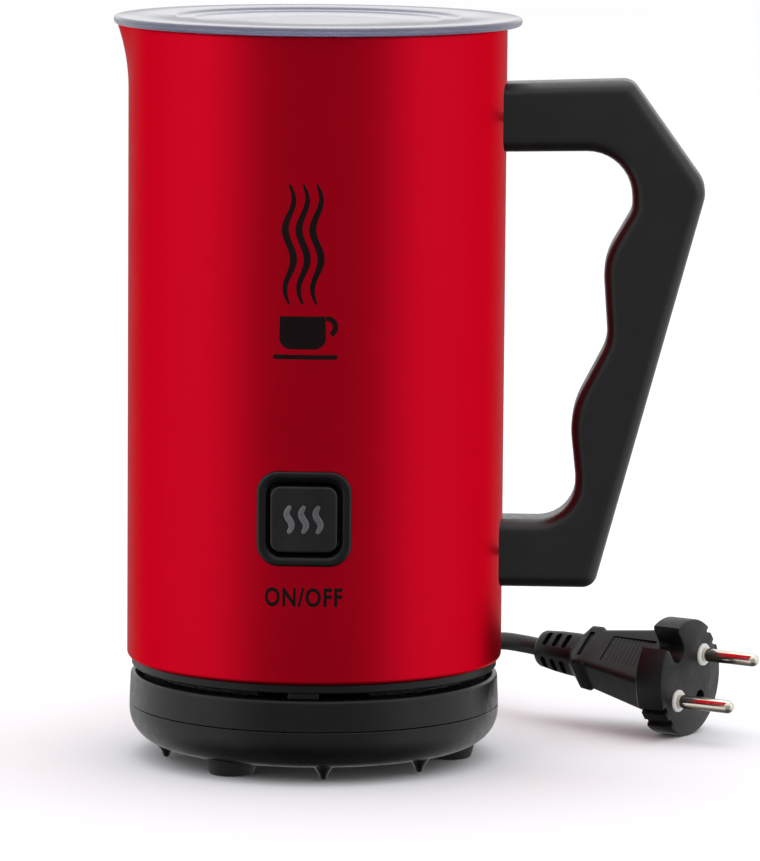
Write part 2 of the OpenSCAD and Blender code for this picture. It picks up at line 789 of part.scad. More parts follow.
// Three upright S strokes, each of two half rings; grow widens them
module steam_strokes(grow) {
    bend = 2.1;
    outer = bend + 0.85 + grow;
    inner = bend - 0.85 - grow;
    stroke = concat(arc([0, bend], outer, 90, 270, 12), arc([0, -bend], inner, 90, -90, 8),
        arc([0, -bend], outer, -90, 90, 12), arc([0, bend], inner, 270, 90, 8));
    for (x = [-4.1, 0, 4.1]) translate([x, 0]) polygon(stroke);
}

module steam_block(y0, y1, grow) {
    translate([0, y1, button_z]) rotate([90, 0, 0]) linear_extrude(y1 - y0) steam_strokes(grow);
}

key_back = board_y - 3 - key_travel - 0.1;
key_face = body_r + 1.9;

module button_key() {
    color("#303034") difference() {
        intersection() {
            front_block(key_w, key_w - 0.2, 3, -70, key_back);
            rod(key_face, button_z - 20, button_z + 20);
        }
        steam_block(-60, -55, 0.02);
    }
}

module steam_icon() {
    color("#8c8c90") steam_block(-56.4, -55.02, 0);
}

module key_plunger() {
    color("#1a1a1c") translate([0, key_back, button_z]) rotate([-90, 0, 0]) cylinder(r = 1.7, h = 2.2);
}

base_top_cover();
base_bottom_cover();
base_connector();
base_contacts();
rubber_feet();
base_screws();
cord_clamp();
clamp_screws();
base_leads();
strain_relief();
cord_tail();
cord_lead_near();
cord_coil();
cord_tie();
cord_lead_far();
plug_body();
plug_pins();
pin_collars();
outer_shell();
inner_pot();
pot_spindle();
pot_studs();
bracket_nuts();
heater_ring();
thermostat();
thermal_fuse();
temperature_sensor();
motor_bracket();
motor_can();
motor_end_cap();
motor_screws();
jug_collar();
jug_bottom_cover();
jug_screws();
jug_connector();
jug_contacts();
control_board();
board_components();
board_screws();
wire_harness();
button_bezel();
button_board();
tact_switch();
button_lamps();
handle();
handle_screws();
handle_plates();
motor_shaft();
magnet_carrier();
drive_magnets();
whisk_cap();
whisk_hub();
whisk_magnets();
whisk_coil();
lid_cover();
lid_seal();
button_key();
steam_icon();
key_plunger();
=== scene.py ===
"""Looks of the electric milk frothing jug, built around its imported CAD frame.

Shapes are written in millimetres in the frame's axes and scaled to metres when a mesh is made:
+Z up on the jug's axis, +X to the handle, -Y to the button, floor at z = 0.
"""
import json
import math

import bmesh
import bpy
from mathutils import Matrix, Vector


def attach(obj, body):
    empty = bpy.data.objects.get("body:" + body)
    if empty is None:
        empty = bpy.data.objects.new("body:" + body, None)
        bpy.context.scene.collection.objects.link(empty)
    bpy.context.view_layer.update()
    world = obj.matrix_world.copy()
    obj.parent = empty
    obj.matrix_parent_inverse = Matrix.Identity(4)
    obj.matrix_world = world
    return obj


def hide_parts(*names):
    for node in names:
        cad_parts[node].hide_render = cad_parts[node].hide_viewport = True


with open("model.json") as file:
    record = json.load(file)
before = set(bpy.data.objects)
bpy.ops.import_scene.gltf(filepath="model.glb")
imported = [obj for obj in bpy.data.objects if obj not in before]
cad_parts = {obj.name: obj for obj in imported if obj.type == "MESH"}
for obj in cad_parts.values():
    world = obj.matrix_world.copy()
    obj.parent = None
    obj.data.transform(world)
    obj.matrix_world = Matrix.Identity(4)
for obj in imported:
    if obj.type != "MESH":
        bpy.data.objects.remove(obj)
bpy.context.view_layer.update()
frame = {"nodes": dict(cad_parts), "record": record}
MM = 0.001
TAU = 2 * math.pi


# ---------------------------------------------------------------- helpers

def clamp(t):
    return max(0.0, min(1.0, t))


def smooth(t):
    t = clamp(t)
    return t * t * (3 - 2 * t)


def ramp(x, start, end, low, high):
    return low + (high - low) * smooth((x - start) / (end - start))


def arc(centre, r, a0, a1, steps=8):
    return [(centre[0] + r * math.cos(math.radians(a0 + (a1 - a0) * i / steps)),
             centre[1] + r * math.sin(math.radians(a0 + (a1 - a0) * i / steps)))
            for i in range(steps + 1)]


def to_object(name, bm, sharp=35, place=None):
    """Turns a bmesh in millimetres into an object in metres, smooth apart from its sharp edges."""
    if place is not None:
        bmesh.ops.transform(bm, matrix=place, verts=bm.verts)
    bmesh.ops.scale(bm, vec=(MM, MM, MM), verts=bm.verts)
    bmesh.ops.recalc_face_normals(bm, faces=bm.faces)
    mesh = bpy.data.meshes.new(name)
    bm.to_mesh(mesh)
    bm.free()
    mesh.shade_smooth()
    mesh.set_sharp_from_angle(angle=math.radians(sharp))
    obj = bpy.data.objects.new(name, mesh)
    bpy.context.scene.collection.objects.link(obj)
    return obj


def lathe_into(bm, profile, segments, bulge=None, place=None):
    """Revolves a closed outline of (r, z) points about Z; bulge gives each point's real radius."""
    rings = []
    for r, z in profile:
        if r < 1e-6:
            rings.append([bm.verts.new((0, 0, z))])
            continue
        ring = []
        for k in range(segments):
            a = TAU * k / segments
            rr = bulge(a, r, z) if bulge else r
            ring.append(bm.verts.new((rr * math.cos(a), rr * math.sin(a), z)))
        rings.append(ring)
    new = [v for ring in rings for v in ring]
    for a, b in zip(rings, rings[1:] + rings[:1]):
        if len(a) == 1 and len(b) == 1:
            continue
        for k in range(segments):
            n = (k + 1) % segments
            if len(a) == 1:
                bm.faces.new((a[0], b[k], b[n]))
            elif len(b) == 1:
                bm.faces.new((a[k], b[0], a[n]))
            else:
                bm.faces.new((a[k], a[n], b[n], b[k]))
    if place is not None:
        bmesh.ops.transform(bm, matrix=place, verts=new)
    return new


def lathe(name, profile, segments, bulge=None, sharp=35, place=None):
    bm = bmesh.new()
    lathe_into(bm, profile, segments, bulge)
    return to_object(name, bm, sharp, place)


def loft_into(bm, loops, ring=False, place=None):
    """Joins loops of equal length into a tube, with both ends capped, or closed on itself."""
    rows = [[bm.verts.new(p) for p in loop] for loop in loops]
    size = len(rows[0])
    for i in range(len(rows) if ring else len(rows) - 1):
        a, b = rows[i], rows[(i + 1) % len(rows)]
        for k in range(size):
            n = (k + 1) % size
            bm.faces.new((a[k], a[n], b[n], b[k]))
    if not ring:
        bm.faces.new(rows[0])
        bm.faces.new(rows[-1])
    new = [v for row in rows for v in row]
    if place is not None:
        bmesh.ops.transform(bm, matrix=place, verts=new)
    return new


def round_rect(w, h, r, steps=6):
    """Points round a w by h rectangle with round corners, anticlockwise."""
    r = min(r, w / 2 - 1e-3, h / 2 - 1e-3)
    out = []
    for cx, cy, a in ((1, -1, -90), (1, 1, 0), (-1, 1, 90), (-1, -1, 180)):
        out += arc((cx * (w / 2 - r), cy * (h / 2 - r)), r, a, a + 90, steps)
    return out


def prism_into(bm, outline, depth, place=None):
    """A flat outline in XY pushed up along Z by depth."""
    loops = [[(x, y, 0) for x, y in outline], [(x, y, depth) for x, y in outline]]
    return loft_into(bm, loops, place=place)


def tube_into(bm, path, radius, sides=12, flat=1.0, up=Vector((0, 0, 1)), ends=True):
    """A round or flattened tube along a path, with domed ends."""
    path = [Vector(p) for p in path]
    loops = []
    count = len(path)
    for i, p in enumerate(path):
        d = (path[min(i + 1, count - 1)] - path[max(i - 1, 0)]).normalized()
        side = up.cross(d)
        side = side.normalized() if side.length > 1e-6 else Vector((1, 0, 0))
        top = d.cross(side)
        r = radius(i / (count - 1)) if callable(radius) else radius
        stations = [(0.0, 1.0)]
        if ends and i in (0, count - 1):
            sign = -1 if i == 0 else 1
            stations = [(sign * r * math.sin(a), math.cos(a)) for a in (1.35, 0.95, 0.5, 0.0)]
            if i:
                stations.reverse()
        for shift, share in stations:
            c = p + d * shift
            loops.append([c + side * (r * share * math.cos(TAU * k / sides))
                          + top * (r * flat * share * math.sin(TAU * k / sides))
                          for k in range(sides)])
    return loft_into(bm, loops)


def carve(obj, cutter):
    """Cuts one object out of another and removes the cutter."""
    m = obj.modifiers.new("cut", "BOOLEAN")
    m.object, m.operation, m.solver = cutter, "DIFFERENCE", "EXACT"
    graph = bpy.context.evaluated_depsgraph_get()
    mesh = bpy.data.meshes.new_from_object(obj.evaluated_get(graph))
    obj.modifiers.clear()
    old, obj.data = obj.data, mesh
    bpy.data.meshes.remove(old)
    data = cutter.data
    bpy.data.objects.remove(cutter)
    bpy.data.meshes.remove(data)
    mesh.shade_smooth()
    mesh.set_sharp_from_angle(angle=math.radians(35))


def wrap(bm, r_in, r_out, centre_z):
    """Bends a flat sketch (x, y) of thickness z 0..1 round the body, on its button side."""
    strip = 1.5
    xs = [v.co.x for v in bm.verts]
    x = math.floor(min(xs)) + 0.37
    while x < max(xs):
        geom = bm.verts[:] + bm.edges[:] + bm.faces[:]
        bmesh.ops.bisect_plane(bm, geom=geom, plane_co=(x, 0, 0), plane_no=(1, 0, 0))
        x += strip
    for v in bm.verts:
        r = r_in + (r_out - r_in) * v.co.z
        a = v.co.x / BODY_R
        v.co = Vector((r * math.sin(a), -r * math.cos(a), centre_z + v.co.y))


def done(obj, mat, body, slot, *nodes):
    """Gives a piece its finish and its body, and hides the CAD nodes that it stands for."""
    obj.data.materials.clear()
    obj.data.materials.append(mat)
    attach(obj, body)
    if nodes:
        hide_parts(*nodes)
    return obj


# ---------------------------------------------------------------- sizes, as in the CAD

BODY_R = 55.0
SHELL_IN = 54.4
SHELL_LOW = 29.4
SHELL_TOP = 214.6
RIM_Z = SHELL_TOP + 0.3
POT_R = 46.0
POT_OUT = 47.2
POT_FLOOR = 113.2
BASE_R = 54.25
SEAM_Z = 15.8
BASE_LOW = 4.2
BASE_TOP = 25.2
FOOT_RING = 40
PEG_RING = 44.3
BUTTON_Z = 77.7
FOOT_TURN = -123
EXIT_TURN = 120
CORD_D = 5.4
PLUG_R = 17.6
PLUG_FACE = (111.1, 38.5, PLUG_R)
PIN_R = 2.0
PIN_LEN = 19.0
PIN_OFFSETS = (-9.5, 9.5)
PLUG_TURN = -30.5
PLUG_ROLL = 39.5
BOOT_TILT = 4.2
SPOUT_OUT = 3.4
SPOUT_LOW = 196
CHANNEL_LOW = 199
ROLL_IN = 48.2
ROLL_OUT = 54.35
WORDS_Z = 55.15
EMBLEM_Z = 126.0


# ---------------------------------------------------------------- camera

def make_camera():
    yaw, pitch, roll = (math.radians(a) for a in (-2.6633, 7.5038, 0.4649))
    forward = Vector((math.sin(yaw) * math.cos(pitch), math.cos(yaw) * math.cos(pitch),
                      -math.sin(pitch)))
    level = Vector((math.cos(yaw), -math.sin(yaw), 0))
    upright = level.cross(forward)
    right = math.cos(roll) * level + math.sin(roll) * upright
    up = math.cos(roll) * upright - math.sin(roll) * level
    data = bpy.data.cameras.new("camera")
    data.lens = 244.55
    data.sensor_width = 36
    data.clip_start = 0.05
    data.clip_end = 100
    camera = bpy.data.objects.new("camera", data)
    turned = Matrix((right, up, -forward)).transposed().to_4x4()
    turned.translation = Vector((0.09777, -1.69570, 0.31976))
    camera.matrix_world = turned
    bpy.context.scene.collection.objects.link(camera)
    bpy.context.scene.camera = camera


make_camera()


# ---------------------------------------------------------------- cord route

NEAR_ROUTE = [(-40, 69.5, 15.8), (-44, 76.5, 15.4), (-47, 84, 14), (-48.5, 91.5, 11.4),
              (-47.5, 99, 8.6), (-44.5, 107, 6.2), (-39, 114.5, 4.6), (-31, 121, 3.8),
              (-21.5, 125.8, 3.7), (-11, 128.8, 3.7)]
FAR_ROUTE = [(32.5, 109.2, 8.4), (36.5, 100.5, 10), (40.6, 91.6, 13.8), (45.8, 83.4, 18.4),
             (52.8, 75.6, 21.6), (60.5, 68.9, 21.9), (65.74, 65.2, 21.46)]
COIL_AT = (5, 97)
COIL_START = 116.7
COIL_R = 32.7
COIL_STEP = 5.4


def coil_point(u):
    """A point on the coil after u degrees: two turns on the floor, then most of one on top."""
    r = COIL_R + ramp(u, 0, 40, 2.9, 0)
    r -= ramp(u, 330, 400, 0, COIL_STEP) + ramp(u, 690, 760, 0, COIL_STEP)
    r += ramp(u, 815, 890, 0, 1.5 * COIL_STEP)
    z = 3.7 + ramp(u, 800, 842, 0, COIL_STEP) - ramp(u, 855, 890, 0, 0.7)
    a = math.radians(COIL_START - u)
    return COIL_AT[0] + r * math.cos(a), COIL_AT[1] + r * math.sin(a), z


def catmull(points, spacing):
    """A smooth line through points, with new points about spacing apart."""
    pts = [Vector(p) for p in points]
    pts = [2 * pts[0] - pts[1]] + pts + [2 * pts[-1] - pts[-2]]
    out = []
    for a, b, c, d in zip(pts, pts[1:], pts[2:], pts[3:]):
        steps = max(1, round((c - b).length / spacing))
        for k in range(steps):
            t = k / steps
            out.append(0.5 * (2 * b + (c - a) * t + (2 * a - 5 * b + 4 * c - d) * t * t
                              + (3 * b - a - 3 * c + d) * t ** 3))
    out.append(pts[-2])
    return out


COIL_LINE = [coil_point(u) for u in range(15, 1160, 15)]
CORD_LINE = catmull(NEAR_ROUTE + COIL_LINE + FAR_ROUTE, 2.0)


def make_cord():
    bm = bmesh.new()
    tube_into(bm, CORD_LINE, CORD_D / 2, sides=20, ends=False)
    return to_object("power_cord", bm, 60)


# ---------------------------------------------------------------- materials

class Nodes:
    """A short way to write a material's node tree."""

    def __init__(self, name):
        self.mat = bpy.data.materials.new(name)
        self.mat.use_nodes = True
        self.tree = self.mat.node_tree
        self.shader = self.tree.nodes["Principled BSDF"]
        self.place = self.tree.nodes.new("ShaderNodeTexCoord").outputs["Object"]

    def set(self, **values):
        names = {"colour": "Base Color", "metal": "Metallic", "ior": "IOR",
                 "spec": "Specular IOR Level", "tint": "Specular Tint",
                 "trans": "Transmission Weight"}
        for key, value in values.items():
            if key in ("colour", "tint"):
                value = (*value, 1)
            self.shader.inputs[names[key]].default_value = value
        return self

    def noise(self, size_mm, detail, stretch=(1, 1, 1)):
        """Noise whose features are about size_mm across."""
        mapping = self.tree.nodes.new("ShaderNodeMapping")
        mapping.inputs["Scale"].default_value = stretch
        self.tree.links.new(self.place, mapping.inputs["Vector"])
        n = self.tree.nodes.new("ShaderNodeTexNoise")
        n.inputs["Scale"].default_value = 1 / (size_mm * MM)
        n.inputs["Detail"].default_value = detail
        n.inputs["Roughness"].default_value = 0.55
        self.tree.links.new(mapping.outputs["Vector"], n.inputs["Vector"])
        return n.outputs["Fac"]

    def spread(self, value, low, high, start=0.3, end=0.7):
        """Maps a 0..1 value to a range."""
        m = self.tree.nodes.new("ShaderNodeMapRange")
        m.inputs["From Min"].default_value = start
        m.inputs["From Max"].default_value = end
        m.inputs["To Min"].default_value = low
        m.inputs["To Max"].default_value = high
        self.tree.links.new(value, m.inputs["Value"])
        return m.outputs["Result"]

    def mix(self, value, a, b):
        """A colour between a and b."""
        m = self.tree.nodes.new("ShaderNodeMix")
        m.data_type = "RGBA"
        m.inputs["A"].default_value = (*a, 1)
        m.inputs["B"].default_value = (*b, 1)
        self.tree.links.new(value, m.inputs["Factor"])
        return m.outputs["Result"]

    def into(self, socket, value):
        self.tree.links.new(value, self.shader.inputs[socket])
        return self

    def bump(self, value, depth_mm):
        b = self.tree.nodes.new("ShaderNodeBump")
        b.inputs["Distance"].default_value = depth_mm * MM
        self.tree.links.new(value, b.inputs["Height"])
        self.tree.links.new(b.outputs["Normal"], self.shader.inputs["Normal"])
        return self


def plastic(name, dark, light, rough, grain_mm=0.35, depth=0.02, spec=0.5, vary=0.06):
    """Moulded plastic or rubber: fine grain, slight patches of colour and shine."""
    n = Nodes(name).set(spec=spec)
    patches = n.noise(9, 4)
    n.into("Base Color", n.mix(n.spread(patches, 0, 1), dark, light))
    n.into("Roughness", n.spread(n.noise(3, 5), rough - vary, rough + vary))
    return n.bump(n.noise(grain_mm, 2), depth).mat


def metal(name, dark, light, rough, grain_mm=0.3, depth=0.004, stretch=(1, 1, 1), vary=0.07):
    """Bare or coated metal: fine drawn lines or grain, uneven shine."""
    n = Nodes(name).set(metal=1.0)
    n.into("Base Color", n.mix(n.spread(n.noise(6, 4), 0, 1), dark, light))
    n.into("Roughness", n.spread(n.noise(2, 5, stretch), rough - vary, rough + vary))
    return n.bump(n.noise(grain_mm, 2, stretch), depth).mat


def red_lacquer():
    n = Nodes("red_paint").set(metal=1.0, tint=(0.85, 0.46, 0.46))
    flake = n.noise(0.16, 1)
    n.into("Base Color", n.mix(n.spread(flake, 0, 1), (0.545, 0.0022, 0.0145),
                               (0.625, 0.0030, 0.0185)))
    n.into("Roughness", n.spread(n.noise(14, 3), 0.34, 0.39))
    return n.bump(n.noise(0.2, 2), 0.0012).mat


def smoky_clear():
    n = Nodes("smoky_clear").set(colour=(0.31, 0.32, 0.46), trans=0.70, ior=1.5)
    n.into("Roughness", n.spread(n.noise(12, 3), 0.05, 0.09))
    return n.bump(n.noise(7, 2), 0.012).mat


def pot_coating():
    n = Nodes("non_stick").set(spec=0.6)
    n.into("Base Color", n.mix(n.spread(n.noise(0.35, 2), 0, 1, 0.45, 0.75),
                               (0.035, 0.035, 0.038), (0.11, 0.11, 0.115)))
    n.into("Roughness", n.spread(n.noise(4, 4), 0.32, 0.46))
    return n.bump(n.noise(0.5, 3), 0.01).mat


def build_materials():
    return {
        "red_paint": red_lacquer(),
        "smoky_clear": smoky_clear(),
        "non_stick": pot_coating(),
        "handle_plastic": plastic("handle_plastic", (0.0034, 0.0035, 0.0042),
                                  (0.0054, 0.0055, 0.0064), 0.34, 0.30, 0.022, 0.50),
        "base_plastic": plastic("base_plastic", (0.0026, 0.0026, 0.0028),
                                (0.0044, 0.0044, 0.0046), 0.30, 0.45, 0.008, 0.30),
        "dark_plastic": plastic("dark_plastic", (0.0022, 0.0022, 0.0024),
                                (0.0040, 0.0040, 0.0042), 0.42, 0.4, 0.012, 0.25),
        "plug_plastic": plastic("plug_plastic", (0.0032, 0.0032, 0.0034),
                                (0.0062, 0.0062, 0.0062), 0.40, 0.35, 0.022, 0.26),
        "cord_rubber": plastic("cord_rubber", (0.0035, 0.0035, 0.0038),
                               (0.0065, 0.0065, 0.0068), 0.42, 0.3, 0.010, 0.4),
        "foot_rubber": plastic("foot_rubber", (0.006, 0.006, 0.0065),
                               (0.013, 0.013, 0.013), 0.68, 0.5, 0.03, 0.35),
        "gloss_surround": plastic("gloss_surround", (0.0022, 0.0022, 0.0026),
                                  (0.0034, 0.0034, 0.0038), 0.20, 2.0, 0.003, 0.28, 0.03),
        "key_plastic": plastic("key_plastic", (0.0030, 0.0030, 0.0036),
                               (0.0075, 0.0075, 0.0085), 0.36, 0.22, 0.020, 0.36),
        "icon_clear": plastic("icon_clear", (0.055, 0.055, 0.062),
                              (0.12, 0.12, 0.13), 0.22, 1.5, 0.01, 0.6),
        "print_ink": plastic("print_ink", (0.0045, 0.0015, 0.002),
                             (0.0085, 0.0022, 0.003), 0.55, 0.15, 0.004, 0.10),
        "white_plastic": plastic("white_plastic", (0.70, 0.69, 0.66),
                                 (0.80, 0.79, 0.76), 0.40, 0.5, 0.008, 0.5),
        "carrier_plastic": plastic("carrier_plastic", (0.55, 0.55, 0.57),
                                   (0.66, 0.66, 0.68), 0.5, 0.5, 0.01, 0.5),
        "seal_silicone": plastic("seal_silicone", (0.42, 0.43, 0.46),
                                 (0.55, 0.56, 0.60), 0.42, 0.8, 0.01, 0.5),
        "wire_insulation": plastic("wire_insulation", (0.26, 0.02, 0.016),
                                   (0.36, 0.03, 0.022), 0.4, 0.8, 0.01, 0.5),
        "circuit_board": plastic("circuit_board", (0.015, 0.11, 0.05),
                                 (0.03, 0.17, 0.08), 0.3, 1.2, 0.03, 0.5),
        "pin_nickel": metal("pin_nickel", (0.66, 0.60, 0.50), (0.76, 0.70, 0.60), 0.16, 0.25,
                            0.0025, (1, 1, 1), 0.05),
        "contact_brass": metal("contact_brass", (0.66, 0.46, 0.17), (0.78, 0.58, 0.26), 0.25),
        "screw_steel": metal("screw_steel", (0.50, 0.50, 0.52), (0.64, 0.64, 0.66), 0.34),
        "heater_aluminium": metal("heater_aluminium", (0.44, 0.44, 0.46), (0.58, 0.58, 0.60),
                                  0.5, 0.6, 0.03),
        "magnet": metal("magnet", (0.48, 0.48, 0.50), (0.60, 0.60, 0.63), 0.22),
        "whisk_steel": metal("whisk_steel", (0.62, 0.62, 0.64), (0.74, 0.74, 0.76), 0.18),
    }


MATS = build_materials()
CAD_SLOTS = {s["node"]: s["material_slot"] for s in frame["record"]["subparts"]}
for node_name, node in frame["nodes"].items():
    if CAD_SLOTS.get(node_name) in MATS:
        node.data.materials.clear()
        node.data.materials.append(MATS[CAD_SLOTS[node_name]])


# ---------------------------------------------------------------- cord and plug

AT_PLUG = (Matrix.Translation(PLUG_FACE) @ Matrix.Rotation(math.radians(PLUG_TURN), 4, "Z")
           @ Matrix.Rotation(math.radians(PLUG_ROLL), 4, "X"))
AT_BOOT = (Matrix.Translation(PLUG_FACE) @ Matrix.Rotation(math.radians(PLUG_TURN), 4, "Z")
           @ Matrix.Rotation(math.radians(BOOT_TILT), 4, "Y")
           @ Matrix.Rotation(math.radians(PLUG_ROLL), 4, "X"))
ALONG_X = Matrix.Rotation(math.radians(90), 4, "Y")
AT_EXIT = Matrix.Rotation(math.radians(EXIT_TURN), 4, "Z") @ Matrix.Translation((BASE_R, 0, SEAM_Z))


def head_outline():
    """The plug's face in its own y-z plane: a round disc with a deep notch and two guide teeth."""
    r = PLUG_R
    half = math.degrees(math.asin(4.4 / r))
    tooth = [(15.7, 3.7), (15.7, 1.9), (17.0, 1.6), (17.0, -1.2), (15.9, -1.5), (15.9, -3.4)]
    pts = arc((0, 0), r, 90 + half, 180 - 13, 14) + [(-y, z) for y, z in tooth]
    pts += arc((0, 0), r, 180 + 12.5, 360 - 12.5, 30) + tooth[::-1]
    pts += arc((0, 0), r, 13, 90 - half, 14)
    pts += [(3.5, 15.6), (3.5, 12.2)] + arc((0, 11.6), 3.5, 0, -180, 10)[1:] + [(-3.5, 15.6)]
    return pts


def inset(points, d):
    """Moves each point of an anticlockwise outline inwards by d."""
    out = []
    n = len(points)
    for i in range(n):
        a, b, c = (Vector(points[(i + k) % n]) for k in (-1, 0, 1))
        e0, e1 = (b - a).normalized(), (c - b).normalized()
        n0, n1 = Vector((-e0.y, e0.x)), Vector((-e1.y, e1.x))
        m = n0 + n1
        m = m / max(m.dot(n0), 0.35) if m.length > 1e-6 else n0
        out.append(tuple(b + m * d))
    return out


def anticlockwise(outline):
    """The outline, reversed if it runs clockwise."""
    area = sum(a[0] * b[1] - b[0] * a[1] for a, b in zip(outline, outline[1:] + outline[:1]))
    return outline if area > 0 else outline[::-1]


def plug_head():
    outline = anticlockwise(head_outline())
    bm = bmesh.new()
    loops = []
    for x, d in ((-9.0, 0.5), (-8.5, 0), (-0.6, 0), (-0.18, 0.18), (0, 0.6)):
        loops.append([(x, y, z) for y, z in inset(outline, d)])
    loft_into(bm, loops)
    head = to_object("plug_head", bm, 40, AT_PLUG)
    cut = bmesh.new()
    for y in PIN_OFFSETS:
        lathe_into(cut, [(0, -7.5), (3.42, -7.5), (3.42, -0.3), (3.9, 0.5), (0, 0.5)], 32,
                   place=Matrix.Translation((0, y, 0)) @ ALONG_X)
    lathe_into(cut, [(0, -7), (2.3, -7), (2.3, -0.35), (2.7, 0.5), (0, 0.5)], 32,
               place=Matrix.Translation((0, 0, -9)) @ ALONG_X)
    carve(head, to_object("cut", cut, 40, AT_PLUG))
    return head


def plug_grip():
    """The wedge behind the head, its collar and its slotted boot."""
    bm = bmesh.new()
    wedge = [(-8.6, 24.2, 15.2, 2.6), (-9.6, 24, 15, 2.6), (-31.2, 16.0, 12.2, 2.2)]
    collar = [(-31.9, 15.9, 12.1, 2.2), (-33.0, 16.7, 13.2, 2.0), (-36.2, 16.3, 13.0, 2.0),
              (-38.0, 13.4, 11.2, 3.6), (-39.0, 12.3, 11.0, 4.2)]
    boot = [(-40.0, 12.3, 11.6, 4.4), (-46.0, 11.6, 11.0, 4.2), (-51.6, 10.6, 10.2, 4.4),
            (-52.4, 9.8, 9.4, 4.2), (-52.7, 8.6, 8.4, 3.9)]
    loops = [[(x, a, b) for a, b in round_rect(w, h, r)] for x, w, h, r in wedge + collar + boot]
    loft_into(bm, loops)
    grip = to_object("plug_grip", bm, 32, AT_BOOT)
    cuts = bmesh.new()
    for k in range(3):
        x = -42.0 - 3.45 * k
        slot = [(x + a, b) for a, b in round_rect(1.75, 5.6 - 0.2 * k, 0.86)]
        for side in range(4):
            turned = Matrix.Rotation(math.radians(90 * side), 4, "X")
            prism_into(cuts, slot, 4, turned @ Matrix.Translation((0, 0, 3.9 - 0.1 * k)))
    panel = [(-12.2, -5.4), (-12.2, 5.4), (-27.6, 5.0), (-27.6, -5.0)]
    for side in (0, 180):
        turned = Matrix.Rotation(math.radians(side), 4, "X")
        tilt = (Matrix.Translation((-12, 0, 6.75)) @ Matrix.Rotation(math.radians(-2.7), 4, "Y")
                @ Matrix.Translation((12, 0, 0)))
        prism_into(cuts, panel, 4, turned @ tilt)
        recess = [(-33.9, -4.8), (-33.9, 4.8), (-35.6, 4.8), (-35.6, -4.8)]
        prism_into(cuts, recess, 4, turned @ Matrix.Translation((0, 0, 5.8)))
    carve(grip, to_object("cut", cuts, 32, AT_BOOT))
    return grip


def plug_ridges():
    """The slanted grip ridges that stand in the wedge's two shallow panels."""
    bm = bmesh.new()
    for side in (0, 180):
        turned = Matrix.Rotation(math.radians(side), 4, "X")
        for k in range(10):
            x = -13.6 - 1.36 * k
            z = 6.52 - 0.047 * (-12 - x)
            path = [(x + 0.6, -4.7, z), (x, 0, z), (x - 0.6, 4.7, z)]
            new = tube_into(bm, path, 0.42, sides=8)
            bmesh.ops.transform(bm, matrix=turned, verts=new)
    return to_object("plug_ridges", bm, 50, AT_BOOT)


def on_pins(name, profile):
    """A turned shape on the axis of each plug pin."""
    bm = bmesh.new()
    for y in PIN_OFFSETS:
        lathe_into(bm, profile, 40, place=Matrix.Translation((0, y, 0)) @ ALONG_X)
    return to_object(name, bm, 35, AT_PLUG)


def make_plug():
    head = done(plug_head(), MATS["plug_plastic"], "base", "plug_plastic", "plug_body")
    grip = done(plug_grip(), MATS["plug_plastic"], "base", "plug_plastic")
    ridges = done(plug_ridges(), MATS["plug_plastic"], "base", "plug_plastic")
    pin = [(0, -7.3), (1.6, -7.3), (1.6, 0.6), (1.98, 0.8)]
    pin += [(PIN_R, 1.0), (PIN_R, PIN_LEN - PIN_R)]
    pin += arc((0, PIN_LEN - PIN_R), PIN_R, 0, 90, 8)[1:]
    pins = done(on_pins("plug_pins_fine", pin), MATS["pin_nickel"], "base", "pin_nickel",
                "plug_pins")
    ring = [(1.66, -7.3), (3.36, -7.3), (3.36, 0.35), (3.1, 0.72), (2.2, 0.76), (1.66, 0.5)]
    rings = done(on_pins("pin_collars_fine", ring), MATS["white_plastic"], "base",
                 "white_plastic", "pin_collars")
    return [head, grip, ridges, pins, rings]


def make_relief():
    """The ribbed sleeve where the cord leaves the base."""
    r = CORD_D / 2
    profile = [(r + 0.06, -4), (3.7, -4), (3.7, 0.15), (5.3, 0.15), (5.6, 0.45), (5.6, 2.7)]
    x = 3.2
    for k in range(5):
        big, small = 5.2 - 0.22 * k, 4.6 - 0.24 * k
        profile += [(small, x), (small, x + 1.2), (big - 0.25, x + 1.5), (big, x + 1.8),
                    (big - 0.05, x + 3.7), (big - 0.3, x + 4.0)]
        x += 4.2
    profile += [(4.0, 24.4), (3.9, 25.3), (3.5, 26), (r + 0.06, 26)]
    return lathe("cord_sleeve", profile, 48, place=AT_EXIT @ ALONG_X)


def make_tie():
    """A soft strap round the coil, with a folded end."""
    bm = bmesh.new()
    loops = []
    for half, grow in ((-2.5, -0.25), (-2.2, 0), (2.2, 0), (2.5, -0.25)):
        loops.append([(x, half, z) for x, z in round_rect(12.3 + grow, 11.3 + grow, 2.2, 5)])
    for half, grow in ((2.5, -0.95), (-2.5, -0.95)):
        loops.append([(x, half, z) for x, z in round_rect(12.0 + grow, 11.0 + grow, 1.7, 5)])
    loft_into(bm, loops, ring=True)
    prism_into(bm, round_rect(7, 4.4, 0.8), 0.7, Matrix.Translation((0.8, 0, 5.3)))
    at_coil = Matrix.Translation((COIL_AT[0] - 29.2, COIL_AT[1], 6.0))
    return to_object("coil_strap", bm, 40, at_coil)


cord = done(make_cord(), MATS["cord_rubber"], "base", "cord_rubber",
            "cord_lead_near", "cord_coil", "cord_lead_far")
plug_pieces = make_plug()
strap = done(make_tie(), MATS["dark_plastic"], "base", "cord_rubber", "cord_tie")
done(make_relief(), MATS["cord_rubber"], "base", "cord_rubber", "strain_relief")


# ---------------------------------------------------------------- power base

